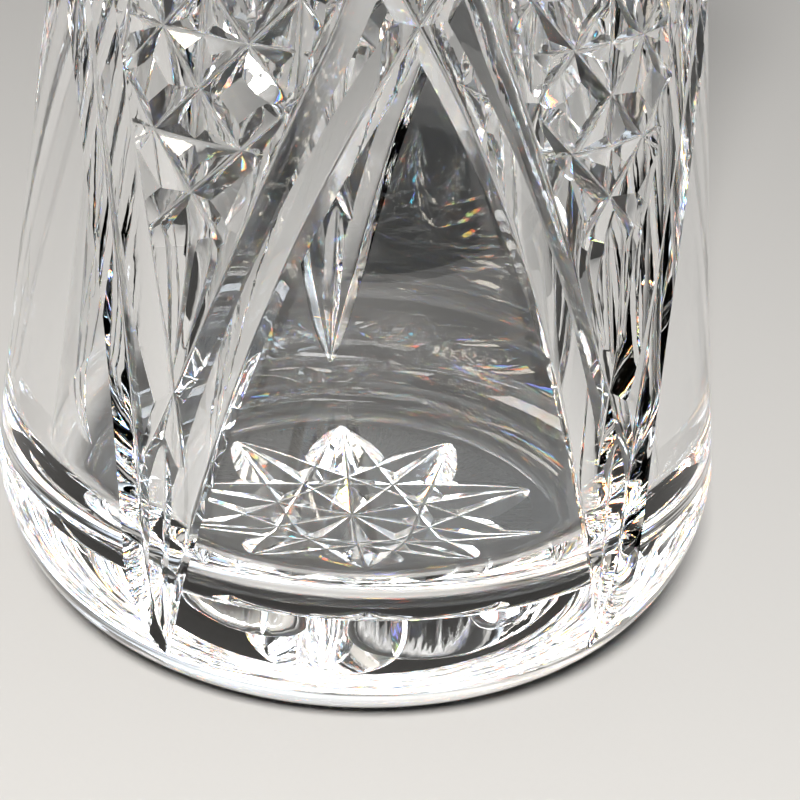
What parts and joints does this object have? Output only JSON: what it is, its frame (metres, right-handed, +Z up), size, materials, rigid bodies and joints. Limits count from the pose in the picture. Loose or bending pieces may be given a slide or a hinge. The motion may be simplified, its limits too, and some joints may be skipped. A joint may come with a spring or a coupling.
{
  "type": "cut crystal vase",
  "caption": "Waisted clear crystal vase with a thick base, mitre-cut crossing bars, diamond lattice fields, clear panels and a star cut under the foot.",
  "frame": {"origin": "on the vase's axis, at the level it stands on", "axes": "+Z up along the vase's axis; -Y is the side seen in the picture, with a clear panel a little to its right"},
  "size_m": [0.124, 0.124, 0.256],
  "materials": {
    "crystal": "colourless lead crystal, wheel cut and polished"
  },
  "bodies": {
    "root": {"vase_body": "crystal"}
  },
  "joints": []
}
